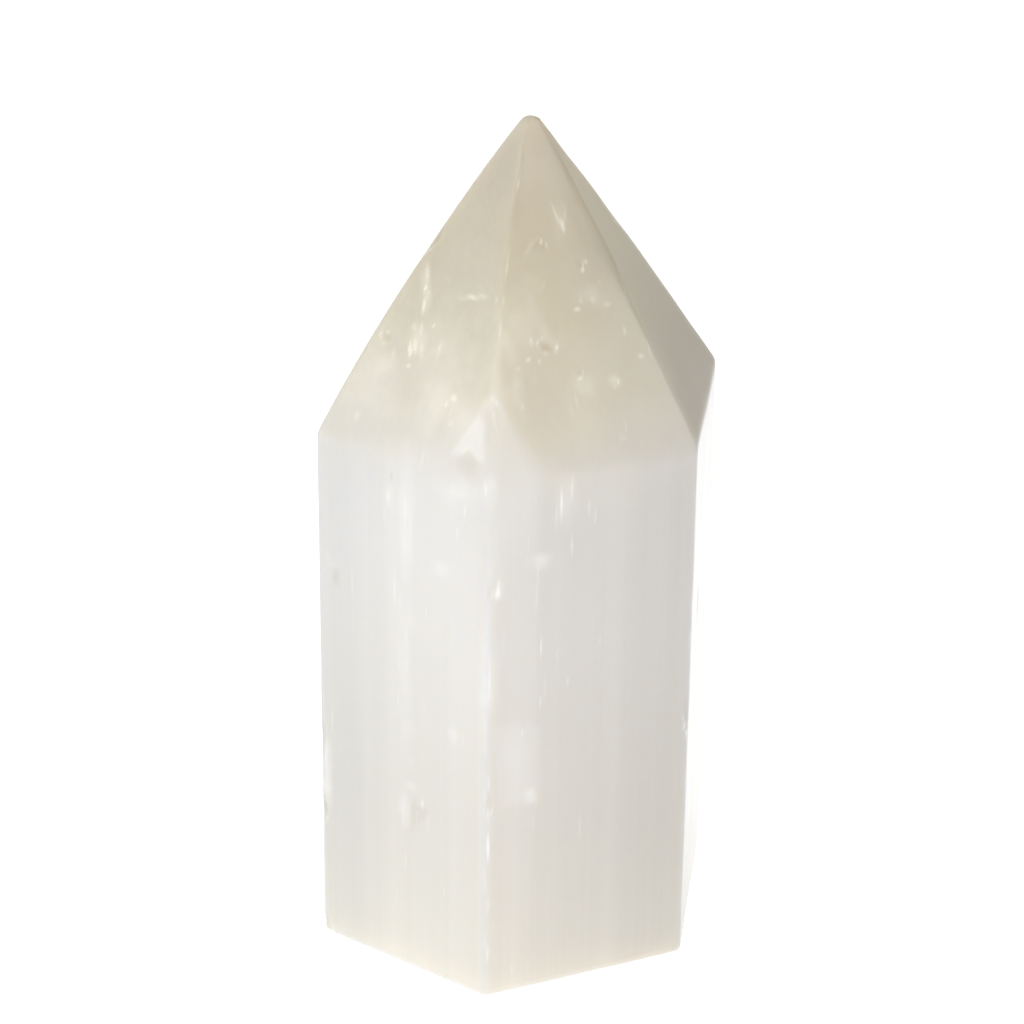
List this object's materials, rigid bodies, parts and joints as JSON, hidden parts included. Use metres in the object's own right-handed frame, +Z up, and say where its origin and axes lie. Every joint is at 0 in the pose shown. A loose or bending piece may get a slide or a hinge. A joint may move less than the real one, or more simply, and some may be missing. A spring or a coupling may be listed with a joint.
{
  "type": "selenite point",
  "caption": "Ground and polished selenite tower: a six-sided prism with a blunt six-sided tip and a flat base that it stands on.",
  "frame": {"origin": "the centre of the flat sawn base", "axes": "+Z runs up the tower to its tip, along its longest side; -Y faces the broad front side"},
  "size_m": [0.055, 0.0473, 0.1101],
  "materials": {
    "selenite": "milky, translucent fibrous selenite with a satin polish, warmer and duller on the cut flats of the tip"
  },
  "bodies": {
    "root": {"selenite_point": "selenite"}
  },
  "joints": []
}
